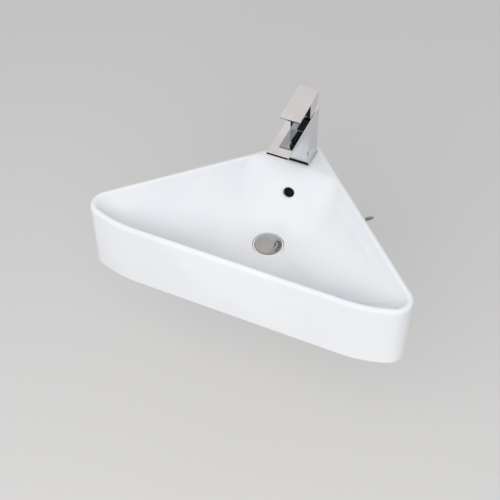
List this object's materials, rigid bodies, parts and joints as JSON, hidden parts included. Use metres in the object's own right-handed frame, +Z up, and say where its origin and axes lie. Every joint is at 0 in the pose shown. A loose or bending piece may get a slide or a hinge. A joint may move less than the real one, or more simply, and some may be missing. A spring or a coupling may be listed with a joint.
{
  "type": "corner basin",
  "caption": "Glazed corner wash basin with a tap deck, overflow and pop-up waste, and a square single-lever mixer tap; hangs on the two walls of a corner.",
  "frame": {"origin": "where the two wall planes meet, at the height of the rim", "axes": "+X to the right for someone facing the corner, +Y into the corner of the walls, +Z up; the walls are the planes y = -|x|"},
  "size_m": [0.6764, 0.3988, 0.3559],
  "materials": {
    "glaze": "glossy white glaze",
    "zinc_steel": "zinc-plated steel",
    "white_plastic": "moulded white plastic",
    "black_rubber": "black rubber",
    "chrome": "polished chrome plate",
    "brass": "machined brass",
    "grey_plastic": "moulded grey plastic",
    "disc_ceramic": "ground ceramic"
  },
  "bodies": {
    "root": {"basin": "glaze", "hanger_bolts": "zinc_steel", "fixing_washers": "zinc_steel", "fixing_nuts": "zinc_steel", "tap_stud": "zinc_steel", "tap_clamp_plate": "zinc_steel", "click_spring": "zinc_steel", "wall_bushes": "white_plastic", "waste_slip_washer": "white_plastic", "waste_backnut": "white_plastic", "waste_top_gasket": "black_rubber", "waste_lower_gasket": "black_rubber", "tap_base_seal": "black_rubber", "cartridge_seals": "black_rubber", "aerator_seal": "black_rubber", "tap_clamp_rubber": "black_rubber", "waste_body": "chrome", "tap_body": "chrome", "tap_base_plate": "chrome", "trim_ring": "chrome", "aerator_housing": "chrome", "click_cartridge": "brass", "cartridge_nut": "brass", "tap_clamp_nut": "brass", "cartridge_housing": "grey_plastic", "aerator_insert": "grey_plastic", "fixed_disc": "disc_ceramic"},
    "swivel": {"cartridge_rotor": "grey_plastic", "spindle_pin": "zinc_steel"},
    "lever_arm": {"lever": "chrome", "cartridge_spindle": "brass", "lever_screw": "zinc_steel", "lever_plug": "grey_plastic"},
    "slider": {"moving_disc": "disc_ceramic"},
    "waste_plug": {"waste_cap": "chrome", "waste_cap_seal": "black_rubber", "waste_stem": "brass"}
  },
  "joints": [
    {"name": "lever_swivel", "type": "hinge", "parent": "root", "child": "swivel", "pos_m": [0, -0.066, 0.12226], "axis": [0, -0.0518, 0.9987], "range_deg": [-50, 50]},
    {"name": "lever_tilt", "type": "hinge", "parent": "swivel", "child": "lever_arm", "pos_m": [0, -0.06574, 0.11726], "axis": [-1, 0, 0], "range_deg": [0, 16]},
    {"name": "disc_slide", "type": "slide", "parent": "swivel", "child": "slider", "axis": [0, -0.9987, -0.0518], "range_m": [0, 0.0036]},
    {"name": "waste_lift", "type": "slide", "parent": "root", "child": "waste_plug", "axis": [0, 0, 1], "range_m": [0, 0.008], "deforming": ["click_spring"]}
  ],
  "couplings": [
    {"joint": "disc_slide", "follows": "lever_tilt", "m_per_rad": 0.0128}
  ]
}
